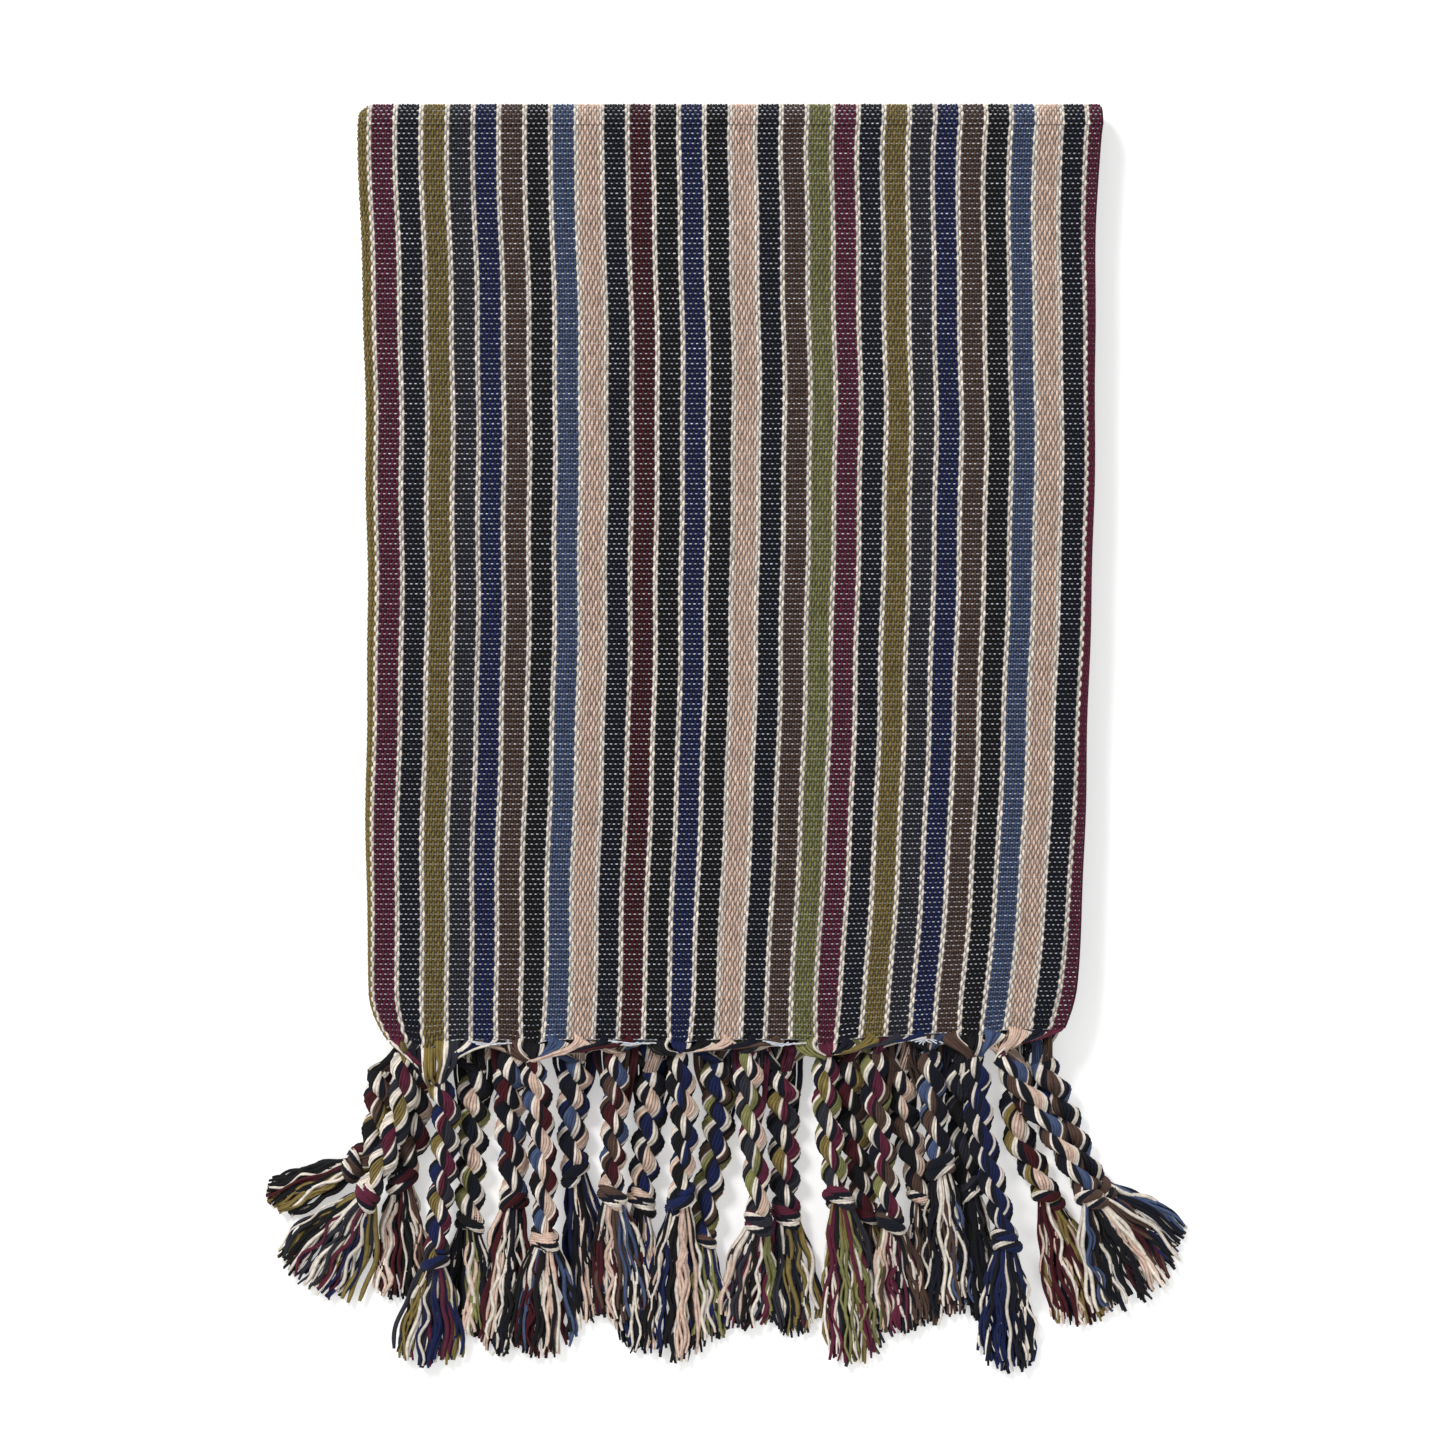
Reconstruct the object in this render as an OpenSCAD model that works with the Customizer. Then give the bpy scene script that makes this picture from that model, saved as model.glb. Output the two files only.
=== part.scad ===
// Flat-woven cotton runner with a twisted and knotted fringe, folded in half
// across its width and in quarters along its length, lying on a flat surface.
// Z is up, X runs across the stripes, Y along them. The round fold is at +Y
// and both fringed ends come together at -Y.

/* [Cloth] */
// Width of the folded cloth at the round fold, selvage yarn included
fold_w = 372; // [371:1:375]
// Share of that width left at the fringed end, where the cords gather the cloth in
gather = 0.948; // [0.93:0.001:0.96]
// Length of the folded cloth, from the top of the round fold to the last weft
cloth_l = 469; // [462:1:476]
// Thickness of one layer of cloth
layer_t = 3; // [2.9:0.01:3]

/* [Stripes] */
// Pitch of one coloured stripe and its cream binding yarns
stripe_pitch = 12.65; // [12.6:0.01:12.65]
// Width of the cream binding yarns in that pitch
cream_w = 2.53; // [2:0.01:3]
// Part of the first stripe that stays on top before the cloth turns round the side fold
first_w = 10; // [9:0.1:10]

/* [Fringe] */
// Radius of a twisted cord
cord_r = 5.5; // [5:0.1:5.5]
// Half the width of a knot
knot_r = 8.5; // [7:0.1:8.5]
// Half the width of a tassel at its cut end
tassel_r = 6.5; // [5:0.1:6.5]
// Sides of the cord solids
cord_sides = 8; // [6:1:8]

/* [Hidden] */
$fn = 48;
layers = 8;
stack_h = layers * layer_t;         // all eight layers
leaf_h = stack_h / 2;               // four layers: one leaf
gap = 0.15;                         // half the clearance between the two leaves
fold_r = leaf_h;                    // outer radius of the round fold
inner_fold_r = fold_r / 2;          // the turn of the inner run inside it
fold_clear = 0.1;                   // clearance of cloth that doesn't turn round the fold
leaf_clear = 0.3;                   // clearance of the leaf that does

top_y = 319;                        // outermost point of the round fold
axis_y = top_y - fold_r;
head_y = top_y - cloth_l;           // front face of the last weft
weft_t = 2;                         // depth of the last weft picks
selvage_t = 1.5;                    // width of the weft's turns at the selvage
left_x = -181.5;                    // left edge at the round fold
left_in = 7.5;                      // how far that edge comes in at the fringed end
bands_w = fold_w - selvage_t;
bands_y = head_y + weft_t;          // where the warp stripes end
far_y = axis_y + fold_r;            // the stripes are cut back from here by the round fold

// Warp colours, and the order in which eighteen stripes repeat
COLOURS = [
    ["moss", "#737f4c"], ["plum", "#5a2440"], ["midnight", "#1b1d2b"], ["olive", "#7b7240"],
    ["charcoal", "#34343f"], ["royal", "#202a5a"], ["brown", "#4a3832"], ["black", "#1b1c20"],
    ["steel", "#465878"], ["tan", "#c9a890"], ["navy", "#181f33"], ["oxblood", "#44202c"]
];
ORDER = [
    "moss", "plum", "midnight", "olive", "charcoal", "royal", "brown", "black", "steel",
    "tan", "navy", "oxblood", "black", "royal", "black", "tan", "navy", "brown"
];
CREAM = "#e6ddcf";
WEFT = "#c8ccd4";
stripes = 30;                       // on the face that shows, the last one cut by the selvage

// Each cord: level (0 lies on the floor, 1 lies on those), a point on the way,
// the knot and the tassel's end, in millimetres
CORDS = [
    [0, [-173, -195], [-185, -214], [-229, -233]], [1, [-161, -186], [-178, -228], [-211, -275]],
    [0, [-155, -200], [-161, -221], [-161, -283]], [1, [-138, -190], [-144, -262], [-149, -316]],
    [0, [-126, -195], [-127, -243], [-128, -300]], [0, [-107, -190], [-105, -232], [-114, -310]],
    [1, [-91, -195], [-89, -250], [-92, -311]], [0, [-75, -190], [-74, -217], [-66, -293]],
    [1, [-54, -195], [-55, -228], [-50, -293]], [0, [-36, -190], [-41, -233], [-42, -309]],
    [1, [-19, -190], [-21, -230], [-25, -313]], [0, [-2, -195], [-10, -250], [-6, -303]],
    [1, [14, -190], [18, -241], [10, -297]], [0, [31, -200], [32, -238], [37, -301]],
    [1, [53, -195], [58, -230], [67, -315]], [0, [66, -195], [72, -238], [76, -295]],
    [1, [78, -190], [84, -242], [89, -300]], [0, [91, -190], [100, -230], [104, -296]],
    [1, [106, -190], [109, -214], [116, -289]], [0, [121, -195], [124, -227], [131, -292]],
    [1, [129, -195], [142, -252], [147, -318.5]], [0, [148, -195], [163, -230], [185, -295]],
    [1, [161, -190], [184, -230], [211, -284]], [0, [172, -190], [189, -226], [227, -262]]
];
first_cord_x = -166;
cord_pitch = 14.2;
level_z = [6, 18.2];                // centre height of the cords on each level
root_z = 18.2;                      // all cords leave the upper leaf at this height
drop_from = 6;                      // where a floor cord starts down, from the last weft
drop_l = 34;                        // and how far it takes to get there
// Along a cord: 0 root, 1 point on the way, 2 knot, 3 cut end. Each ring is
// [place, half width, half height].
RINGS = [
    [0, cord_r, cord_r], [0.15, cord_r, cord_r], [0.35, cord_r, cord_r], [0.6, cord_r, cord_r],
    [0.85, cord_r, cord_r], [1.2, cord_r, cord_r], [1.6, cord_r, cord_r],
    [1.8, cord_r, cord_r], [1.9, knot_r * 0.9, 5.6], [2, knot_r, 5.7], [2.1, knot_r * 0.8, 5.6],
    [2.2, 5, 4.8], [2.45, 6, 5], [2.75, tassel_r, 4.6], [3, tassel_r, 3.8]
];

// ---- Cloth -----------------------------------------------------------------

// X of the point that is u across from the left edge, at height y of the leaf
function cloth_x(u, y) =
    let (v = (axis_y - y) / (axis_y - head_y))
    left_x + left_in * v + u * (1 + (gather - 1) * v);

// Left edge of stripe i: the first is partly turned round the side fold
function stripe_u(i) = i == 0 ? 0 : first_w + (i - 1) * stripe_pitch;
function stripe_end(i) = min(first_w + i * stripe_pitch - cream_w, bands_w);

// Stripe that lies at place i: the back half of the cloth is the mirror image of
// the face across the side fold, so its stripes run the other way. The stripe that
// turns round the side fold and the last one break the repeat.
function face_colour(i) = i == 0 ? "olive" : i == stripes - 1 ? "plum" : ORDER[i % 18];
function back_colour(i) = i == 0 ? "olive" : ORDER[(18 * 2 - i) % 18];

module band(u0, u1, z0, z1, front_y = bands_y) {
    translate([0, 0, z0])
        linear_extrude(z1 - z0)
            polygon([
                [cloth_x(u0, far_y), far_y], [cloth_x(u0, front_y), front_y],
                [cloth_x(u1, front_y), front_y], [cloth_x(u1, far_y), far_y]
            ]);
}

// The bands of one colour on one level of cloth
module bands(colour, z0, z1, back, front_y) {
    for (i = [0 : stripes - 1])
        if ((back ? back_colour(i) : face_colour(i)) == colour)
            band(stripe_u(i), stripe_end(i), z0, z1, front_y);
}

module creams(z0, z1, front_y) {
    for (i = [0 : stripes - 2])
        band(stripe_end(i), stripe_u(i + 1), z0, z1, front_y);
}

// Cuts the cloth back round the fold, with clearance c
module clear_of_fold(c) {
    difference() {
        children();
        translate([0, axis_y, leaf_h])
            rotate([0, 90, 0]) cylinder(r = fold_r + c, h = 3 * fold_w, center = true);
        translate([-2 * fold_w, axis_y, -1]) cube([4 * fold_w, 4 * fold_r, stack_h + 2]);
    }
}

// Upper leaf: face, back, back, face, from the top down
module upper_colour(c) {
    color(c[1])
        clear_of_fold(leaf_clear) {
            bands(c[0], stack_h - layer_t, stack_h, false, bands_y);
            bands(c[0], stack_h - 3 * layer_t, stack_h - layer_t, true, bands_y);
            bands(c[0], leaf_h + gap, stack_h - 3 * layer_t, false, bands_y);
        }
}

module upper_cream() {
    color(CREAM) clear_of_fold(leaf_clear) creams(leaf_h + gap, stack_h, bands_y);
}

// The weft shows where it turns at the selvage and as the last picks by the fringe
module upper_weft() {
    color(WEFT) {
        clear_of_fold(leaf_clear) band(bands_w, fold_w, leaf_h + gap, stack_h, head_y);
        translate([0, 0, leaf_h + gap])
            linear_extrude(stack_h - leaf_h - gap)
                polygon([
                    [cloth_x(0, bands_y), bands_y], [cloth_x(0, head_y), head_y],
                    [cloth_x(bands_w, head_y), head_y], [cloth_x(bands_w, bands_y), bands_y]
                ]);
    }
}

// Lower leaf: face, back, back, face, and its front end turns back on itself
turn_y = head_y + inner_fold_r;     // where the front turn of the lower leaf starts

module lower_colour(c) {
    color(c[1])
        clear_of_fold(fold_clear) {
            bands(c[0], leaf_h - layer_t, leaf_h - gap, false, turn_y);
            bands(c[0], layer_t, leaf_h - layer_t, true, turn_y);
            bands(c[0], 0, layer_t, false, turn_y);
        }
}

module lower_cream() {
    color(CREAM) clear_of_fold(fold_clear) creams(0, leaf_h - gap, turn_y);
}

module lower_weft() {
    color(WEFT) clear_of_fold(fold_clear) band(bands_w, fold_w, 0, leaf_h - gap, turn_y);
}

// Half-round turns at the left edge, where each pair of layers is one cloth
// folded across its width
module side_folds(z0, z1, front_y) {
    slope = atan(left_in / (axis_y - head_y));
    back_y = axis_y - fold_r - leaf_clear;
    run = (back_y - front_y) / cos(slope);
    color(COLOURS[0][1])
        for (z = [z0, z1])
            translate([cloth_x(0, back_y), back_y, z])
                rotate([90, 0, slope])
                    difference() {
                        cylinder(r = layer_t - gap, h = run);
                        translate([0, -2 * layer_t, -1])
                            cube([4 * layer_t, 4 * layer_t, run + 2]);
                    }
}

module upper_side_folds() { side_folds(leaf_h + layer_t, stack_h - layer_t, bands_y); }
module lower_side_folds() { side_folds(layer_t, leaf_h - layer_t, turn_y); }

// The cloth that turns round the top: the outer run, and the inner run inside it
module top_fold_outer() {
    color(COLOURS[2][1])
        translate([left_x, axis_y, leaf_h])
            rotate([0, 90, 0])
                difference() {
                    cylinder(r = fold_r, h = fold_w);
                    translate([0, 0, -1]) cylinder(r = inner_fold_r, h = fold_w + 2);
                }
}

module top_fold_inner() {
    color(COLOURS[10][1])
        translate([left_x, axis_y, leaf_h])
            rotate([0, 90, 0]) cylinder(r = inner_fold_r - fold_clear, h = fold_w);
}

// Half-round turn at the front of the lower leaf, the middle of the cloth's length
module end_fold() {
    x0 = cloth_x(0, turn_y);
    r = inner_fold_r - gap;
    color(COLOURS[10][1])
        translate([x0, turn_y, inner_fold_r])
            rotate([0, 90, 0])
                difference() {
                    cylinder(r = r, h = cloth_x(bands_w, turn_y) - x0);
                    translate([-2 * r, 0, -1]) cube([4 * r, 4 * r, fold_w]);
                }
}

// ---- Fringe ----------------------------------------------------------------

function catmull(a, b, c, d, t) =
    0.5 * (2 * b + (c - a) * t + (2 * a - 5 * b + 4 * c - d) * t * t
        + (3 * b - a - 3 * c + d) * t * t * t);

// Plan of a cord at place t of its four points
function cord_plan(p, t) =
    let (i = min(floor(t), 2), a = i == 0 ? 2 * p[0] - p[1] : p[i - 1],
         d = i == 2 ? 2 * p[3] - p[2] : p[i + 2])
    catmull(a, p[i], p[i + 1], d, t - i);

// How far a floor cord has come down, from 0 to 1
function drop(y) =
    let (s = max(0, min(1, (head_y - drop_from - y) / drop_l))) s * s * (3 - 2 * s);

function cord_point(k, t) =
    let (p = concat([[first_cord_x + k * cord_pitch, head_y]],
                    [for (j = [1 : 3]) CORDS[k][j]]),
         q = cord_plan(p, t))
    [q.x, q.y, root_z + (level_z[CORDS[k][0]] - root_z) * drop(q.y)];

function unit(v) = v / norm(v);

module cord(k) {
    n = len(RINGS);
    centres = [for (r = RINGS) cord_point(k, r[0])];
    along = [for (i = [0 : n - 1])
        i == 0 ? [0, -1, 0] : unit(centres[min(i + 1, n - 1)] - centres[i - 1])];
    side = [for (a = along) unit(cross(a, [0, 0, 1]))];
    up = [for (i = [0 : n - 1]) cross(side[i], along[i])];
    points = [for (i = [0 : n - 1], j = [0 : cord_sides - 1])
        let (a = 360 * (j + 0.5) / cord_sides, s = 1 / cos(180 / cord_sides))
        centres[i] + side[i] * RINGS[i][1] * cos(a) + up[i] * RINGS[i][2] * sin(a)];
    sides = [for (i = [0 : n - 2], j = [0 : cord_sides - 1])
        let (a = i * cord_sides + j, b = i * cord_sides + (j + 1) % cord_sides)
        [a, b, b + cord_sides, a + cord_sides]];
    last = (n - 1) * cord_sides;
    color(COLOURS[(k * 5 + 1) % 12][1])
        polyhedron(points, concat(
            sides,
            [[for (j = [cord_sides - 1 : -1 : 0]) j]],
            [[for (j = [0 : cord_sides - 1]) last + j]]
        ));
}

for (c = COLOURS) upper_colour(c);
upper_cream();
upper_weft();
upper_side_folds();
for (c = COLOURS) lower_colour(c);
lower_cream();
lower_weft();
lower_side_folds();
top_fold_outer();
top_fold_inner();
end_fold();
for (k = [0 : len(CORDS) - 1]) cord(k);
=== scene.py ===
"""A flat-woven cotton runner with a twisted and knotted fringe, folded up and lying on a plain floor.

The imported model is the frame. Every warp end, weft pick and cord yarn here is a strand of its own,
laid along the run of the folded cloth. Lengths are millimetres until a mesh is made.
"""

import math

import bpy
import numpy as np
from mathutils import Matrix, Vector


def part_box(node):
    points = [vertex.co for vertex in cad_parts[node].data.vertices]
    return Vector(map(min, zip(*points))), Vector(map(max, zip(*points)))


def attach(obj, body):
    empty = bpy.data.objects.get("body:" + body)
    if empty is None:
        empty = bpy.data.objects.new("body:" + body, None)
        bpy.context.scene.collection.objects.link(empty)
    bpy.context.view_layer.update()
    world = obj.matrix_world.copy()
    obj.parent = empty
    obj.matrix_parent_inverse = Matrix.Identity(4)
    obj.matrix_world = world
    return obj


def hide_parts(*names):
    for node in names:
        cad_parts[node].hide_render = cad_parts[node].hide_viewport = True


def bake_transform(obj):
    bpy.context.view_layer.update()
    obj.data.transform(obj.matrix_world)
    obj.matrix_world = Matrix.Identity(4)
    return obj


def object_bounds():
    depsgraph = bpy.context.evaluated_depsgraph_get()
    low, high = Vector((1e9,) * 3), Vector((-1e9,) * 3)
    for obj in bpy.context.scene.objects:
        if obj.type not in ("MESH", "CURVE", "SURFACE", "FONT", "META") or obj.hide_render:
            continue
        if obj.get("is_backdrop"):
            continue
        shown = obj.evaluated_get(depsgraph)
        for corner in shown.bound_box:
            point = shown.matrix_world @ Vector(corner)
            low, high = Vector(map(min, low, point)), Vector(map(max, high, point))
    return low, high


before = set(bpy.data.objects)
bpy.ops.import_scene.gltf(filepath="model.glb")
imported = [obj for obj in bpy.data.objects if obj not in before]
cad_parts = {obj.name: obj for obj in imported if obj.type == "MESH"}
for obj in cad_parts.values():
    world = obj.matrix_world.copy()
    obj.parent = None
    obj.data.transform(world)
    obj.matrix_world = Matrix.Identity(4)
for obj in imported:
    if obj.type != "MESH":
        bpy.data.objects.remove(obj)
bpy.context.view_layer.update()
rng = np.random.default_rng(24)  # for the weave; each cord has its own

MM = 0.001


def mm_box(node):
    low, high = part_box(node)
    return np.array(low) / MM, np.array(high) / MM


# ---- Sizes, from the frame where it has them ---------------------------------

fold_low, fold_high = mm_box("top_fold_outer")
weft_low = mm_box("upper_weft")[0]
front_high = mm_box("end_fold")[1]

LAYERS = 8
LEFT = fold_low[0]
FOLD_W = fold_high[0] - fold_low[0]
FOLD_R = (fold_high[2] - fold_low[2]) / 2
STACK = fold_high[2]
AXIS_Y = fold_high[1] - FOLD_R
AXIS_Z = STACK / 2
HEAD = weft_low[1]  # the fringed edge
LAYER = STACK / LAYERS
TURN_Y = front_high[1]  # where the front turn starts
CLOTH_L = AXIS_Y - HEAD

SELVAGE = 1.5  # width of the weft's turns at the right edge
PITCH = 12.65  # one coloured stripe and its two cream ends
CREAM_W = 2.53
FIRST_W = 10.0  # of the first stripe, the part on top of the side fold
STRIPES = 30
PICK = 2.5  # from one weft pick to the next
HALF = LAYER / 2  # the two layers of a pair lie this far from their middle

ORDER = (
    "moss plum midnight olive charcoal royal brown black steel "
    "tan navy oxblood black royal black tan navy brown"
).split()
COLOURS = {
    "moss": (143, 142, 89),
    "plum": (104, 34, 60),
    "midnight": (20, 22, 36),
    "olive": (144, 125, 70),
    "charcoal": (48, 48, 58),
    "royal": (22, 34, 84),
    "brown": (92, 69, 59),
    "black": (17, 16, 20),
    "steel": (77, 94, 132),
    "tan": (242, 211, 192),
    "navy": (15, 18, 34),
    "oxblood": (76, 18, 28),
    "cream": (255, 244, 230),
    "weft": (228, 231, 240),
}
NAMES = list(COLOURS)


def face_colour(i):
    """Colour of stripe i of a face. The first and the last break the repeat."""
    return {0: "olive", STRIPES - 1: "plum"}.get(i, ORDER[i % len(ORDER)])


def back_colour(i):
    """Colour of a back at stripe i. It is the far half of the cloth, so the order is reversed."""
    return "olive" if i == 0 else ORDER[-i % len(ORDER)]


def stripe_start(i):
    return 0.0 if i == 0 else FIRST_W + (i - 1) * PITCH


def stripe_end(i):
    return min(FIRST_W + i * PITCH - CREAM_W, FOLD_W - SELVAGE)


def smooth(t):
    t = np.clip(t, 0, 1)
    return t * t * (3 - 2 * t)


# ---- Materials ---------------------------------------------------------------


def linear(rgb):
    c = np.array(rgb) / 255
    return tuple(np.where(c <= 0.04045, c / 12.92, ((c + 0.055) / 1.055) ** 2.4)) + (1.0,)


def attribute(nodes, name):
    node = nodes.new("ShaderNodeAttribute")
    node.attribute_name = name
    return node.outputs


def scaled(nodes, links, source, low, high, span=(0.0, 1.0)):
    """source, which runs over span, made to run from low to high."""
    node = nodes.new("ShaderNodeMapRange")
    node.inputs["From Min"].default_value = span[0]
    node.inputs["From Max"].default_value = span[1]
    node.inputs["To Min"].default_value = low
    node.inputs["To Max"].default_value = high
    links.new(source, node.inputs["Value"])
    return node.outputs["Result"]


def product(nodes, links, a, b):
    node = nodes.new("ShaderNodeMath")
    node.operation = "MULTIPLY"
    links.new(a, node.inputs[0])
    links.new(b, node.inputs[1])
    return node.outputs["Value"]


def yarn_material(name, rgb):
    """Twisted cotton: every strand has a tone of its own, faded patches, and fibres that wind round it.
    The tone also carries painted shade.
    """
    mat = bpy.data.materials.new(name)
    mat.use_nodes = True
    nodes, links = mat.node_tree.nodes, mat.node_tree.links
    bsdf = nodes["Principled BSDF"]
    tone = attribute(nodes, "tone")["Fac"]
    strand = attribute(nodes, "strand")["Vector"]
    fade = nodes.new("ShaderNodeTexNoise")
    fade.inputs["Scale"].default_value = 0.35
    fade.inputs["Detail"].default_value = 4.0
    links.new(strand, fade.inputs["Vector"])
    faded = scaled(nodes, links, fade.outputs["Fac"], 0.8, 1.22, (0.3, 0.7))
    fibre = nodes.new("ShaderNodeTexWave")
    fibre.inputs["Scale"].default_value = 1.6
    fibre.inputs["Distortion"].default_value = 3.0
    fibre.inputs["Detail"].default_value = 3.0
    fibre.bands_direction = "DIAGONAL"
    links.new(strand, fibre.inputs["Vector"])
    groove = scaled(nodes, links, fibre.outputs["Fac"], 0.82, 1.1)
    shade = product(nodes, links, product(nodes, links, tone, faded), groove)
    tint = nodes.new("ShaderNodeVectorMath")
    tint.operation = "SCALE"
    tint.inputs[0].default_value = linear(rgb)[:3]
    links.new(shade, tint.inputs["Scale"])
    links.new(tint.outputs["Vector"], bsdf.inputs["Base Color"])
    bump = nodes.new("ShaderNodeBump")
    bump.inputs["Strength"].default_value = 0.35
    bump.inputs["Distance"].default_value = 0.0002
    links.new(fibre.outputs["Fac"], bump.inputs["Height"])
    links.new(bump.outputs["Normal"], bsdf.inputs["Normal"])
    rough = scaled(nodes, links, fade.outputs["Fac"], 0.78, 0.95)
    links.new(rough, bsdf.inputs["Roughness"])
    bsdf.inputs["Specular IOR Level"].default_value = 0.25
    bsdf.inputs["Sheen Weight"].default_value = 0.05
    bsdf.inputs["Sheen Roughness"].default_value = 0.6
    return mat


MATERIALS = {name: yarn_material(name + "_cotton", rgb) for name, rgb in COLOURS.items()}


# ---- Strands -----------------------------------------------------------------


UP = np.array([0.0, 0.0, 1.0])
SIDE_SHADE = 0.6  # painted shade: a strand is darker on its sides, where it meets its neighbours, than on its top
UV_FROM, UV_SHARE = 0.08, 0.84  # the part of its own row that a strand takes in the UV map
SHEET_ROWS = 8  # rows of the UV map that a sheet takes
GRAIN_ROUND = 2.4  # the grain's coordinate round a strand
GRAIN_STEP = 7.3  # and from one strand to the next
CORNERS = ((0, 0), (1, 0), (1, 1), (0, 1))
ROUND = np.radians(18.0 + np.arange(5) * 72.0)  # one of the five points is on top


def unit(v):
    return v / np.maximum(np.linalg.norm(v, axis=-1, keepdims=True), 1e-9)


class Spool:
    """Collects strands, and makes one mesh of them."""

    def __init__(self):
        self.points, self.quads, self.uvs = [], [], []
        self.tone, self.strand, self.colour = [], [], []
        self.count, self.rows = 0, 0

    def lay(self, paths, up, wide, high, angles, closed, colours, tone):
        """Strands along paths (strand, station, xyz), with the tops towards up.

        wide and high are half sizes, and angles run round the strand, from its side over its top.
        """
        m, n, k = paths.shape[0], paths.shape[1], len(angles)
        along = unit(np.gradient(paths, axis=1))
        side = unit(np.cross(along, np.broadcast_to(up, paths.shape)))
        top = np.cross(side, along)
        wide = np.broadcast_to(np.asarray(wide, float), (m, n))[:, :, None, None]
        high = np.broadcast_to(np.asarray(high, float), (m, n))[:, :, None, None]
        cos, sin = np.cos(angles)[:, None], np.sin(angles)[:, None]
        ring = paths[:, :, None] + side[:, :, None] * cos * wide + top[:, :, None] * sin * high
        self.points.append(ring.reshape(-1, 3))
        steps = k if closed else k - 1
        a, i, j = np.meshgrid(np.arange(m), np.arange(n - 1), np.arange(steps), indexing="ij")
        base = self.count + a * n * k

        def corner(di, dj):
            return base + (i + di) * k + (j + dj) % k

        self.quads.append(np.stack([corner(*c) for c in CORNERS], -1).reshape(-1, 4))
        uv = []
        for di, dj in CORNERS:
            row = self.rows + a + UV_FROM + UV_SHARE * (j + dj) / steps
            uv.append(np.stack([(i + di) / (n - 1), row], -1))
        self.uvs.append(np.stack(uv, -2).reshape(-1, 2))
        tone = np.broadcast_to(np.asarray(tone, float), (m, n))
        # painted shade: the tone falls from a strand's top to its sides
        painted_side_shade = SIDE_SHADE + (1 - SIDE_SHADE) * np.clip(np.sin(angles), -0.2, 1)
        self.tone.append((tone[:, :, None] * painted_side_shade).reshape(-1))
        stretches = np.linalg.norm(np.diff(paths, axis=1, prepend=paths[:, :1]), axis=-1)
        reach = np.cumsum(stretches, axis=1)
        round_it = np.arange(k) / k * GRAIN_ROUND
        grain = np.empty((m, n, k, 3))
        grain[..., 0] = reach[:, :, None]
        grain[..., 1] = round_it[None, None, :]
        grain[..., 2] = (self.rows + np.arange(m))[:, None, None] * GRAIN_STEP
        self.strand.append(grain.reshape(-1, 3))
        slots = np.array([NAMES.index(c) for c in colours])
        self.colour.append(np.repeat(slots, (n - 1) * steps))
        self.count += m * n * k
        self.rows += m

    def yarns(self, paths, up, radius, colours, tone):
        self.lay(paths, up, radius, radius, ROUND, True, colours, tone)

    def close(self, rings, colours, tone):
        """A closed skin over rings (station, ring point, xyz). colours go round a ring."""
        n, k = rings.shape[:2]
        half = k // 2
        self.points.append(rings.reshape(-1, 3))
        i, j = np.meshgrid(np.arange(n - 1), np.arange(k), indexing="ij")

        def corner(di, dj):
            return self.count + (i + di) * k + (j + dj) % k

        quads = np.stack([corner(*c) for c in CORNERS], -1).reshape(-1, 4)
        uv = []
        for di, dj in CORNERS:
            uv.append(np.stack([(i + di) / (n - 1), self.rows + (j + dj) / k * SHEET_ROWS], -1))
        uv = np.stack(uv, -2).reshape(-1, 2)
        slots = np.tile([NAMES.index(c) for c in colours], n - 1)
        b = np.arange(half - 1)
        first, last = self.count, self.count + (n - 1) * k
        ends = [
            np.stack([first + b, first + b + 1, first + k - 2 - b, first + k - 1 - b], -1),
            np.stack([last + b + 1, last + b, last + k - 1 - b, last + k - 2 - b], -1),
        ]
        cap_uv = np.zeros((2 * (half - 1) * 4, 2)) + (0.5, self.rows + SHEET_ROWS / 2)
        cap_slots = np.tile([NAMES.index(c) for c in colours[: half - 1]], 2)
        self.quads.append(np.concatenate([quads, *ends]))
        self.uvs.append(np.concatenate([uv, cap_uv]))
        self.colour.append(np.concatenate([slots, cap_slots]))
        self.tone.append(np.full(n * k, float(tone)))
        grain = np.empty((n, k, 3))
        grain[:] = rings[..., [1, 0, 2]]
        self.strand.append(grain.reshape(-1, 3))
        self.count += n * k
        self.rows += SHEET_ROWS

    def mesh(self, name):
        """All the strands as one mesh, with a material slot for each colour it uses."""
        me = bpy.data.meshes.new(name)
        points = np.concatenate(self.points) * MM
        quads = np.concatenate(self.quads)
        me.vertices.add(len(points))
        me.vertices.foreach_set("co", points.astype(np.float32).ravel())
        me.loops.add(quads.size)
        me.loops.foreach_set("vertex_index", quads.astype(np.int32).ravel())
        me.polygons.add(len(quads))
        me.polygons.foreach_set("loop_start", np.arange(0, quads.size, 4, dtype=np.int32))
        colour = np.concatenate(self.colour)
        used = sorted(set(colour.tolist()))
        place = {c: i for i, c in enumerate(used)}
        lookup = np.array([place.get(c, 0) for c in range(len(NAMES))])
        for c in used:
            me.materials.append(MATERIALS[NAMES[c]])
        me.polygons.foreach_set("material_index", lookup[colour].astype(np.int32))
        me.update(calc_edges=True)
        me.shade_smooth()
        uv = np.concatenate(self.uvs)
        uv[:, 1] /= self.rows
        layer = me.uv_layers.new(name="OFBake")
        layer.data.foreach_set("uv", uv.astype(np.float32).ravel())
        tone = me.attributes.new("tone", "FLOAT", "POINT")
        tone.data.foreach_set("value", np.concatenate(self.tone).astype(np.float32))
        strand = me.attributes.new("strand", "FLOAT_VECTOR", "POINT")
        strand.data.foreach_set("vector", np.concatenate(self.strand).astype(np.float32).ravel())
        return me

    def piece(self, name, slot, body=None, nodes=()):
        """The strands as a piece that rides on body and stands for the CAD nodes."""
        obj = bpy.data.objects.new(name, self.mesh(name))
        bpy.context.scene.collection.objects.link(obj)
        if body:
            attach(obj, body)
        if nodes:
            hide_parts(*nodes)
        return obj


# ---- The run of the folded cloth ---------------------------------------------

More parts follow.
